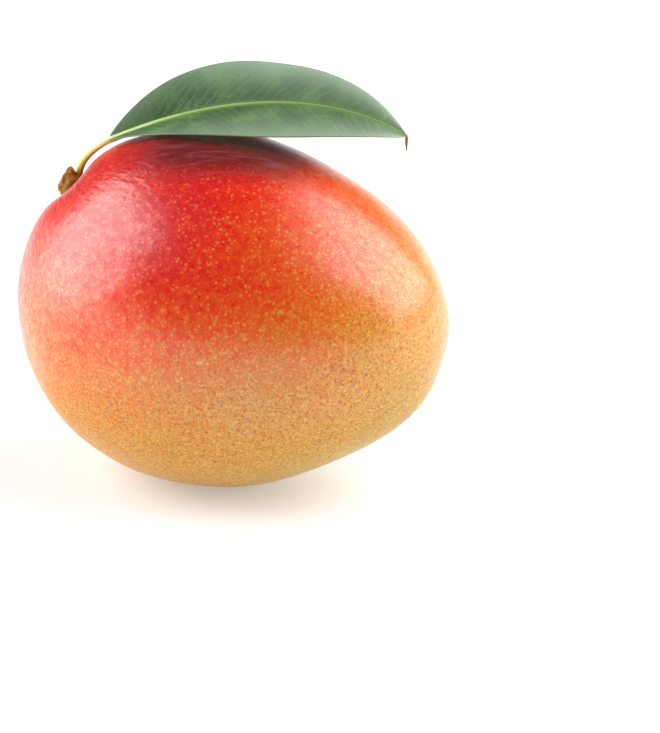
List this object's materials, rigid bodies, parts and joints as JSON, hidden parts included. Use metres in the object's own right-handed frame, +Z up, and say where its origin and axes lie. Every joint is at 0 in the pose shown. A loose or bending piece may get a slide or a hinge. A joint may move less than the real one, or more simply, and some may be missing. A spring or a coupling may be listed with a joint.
{
  "type": "mango",
  "caption": "Whole ripe mango on its lower edge, resting on a small flat spot, with a woody stem stub and a single arched leaf over its top.",
  "frame": {"origin": "on the surface that the fruit rests on, under the middle of the whole object's box", "axes": "+Z up; +X along the fruit's long axis, from the stem end to the tip; -Y out of the broad side that the leaf leans over"},
  "size_m": [0.1215, 0.0952, 0.1151],
  "materials": {
    "skin": "satin wax, red over orange and yellow",
    "stem_wood": "rough bark",
    "leaf": "smooth and leathery"
  },
  "bodies": {
    "root": {"fruit": "skin", "stem": "stem_wood", "leaf": "leaf"}
  },
  "joints": []
}
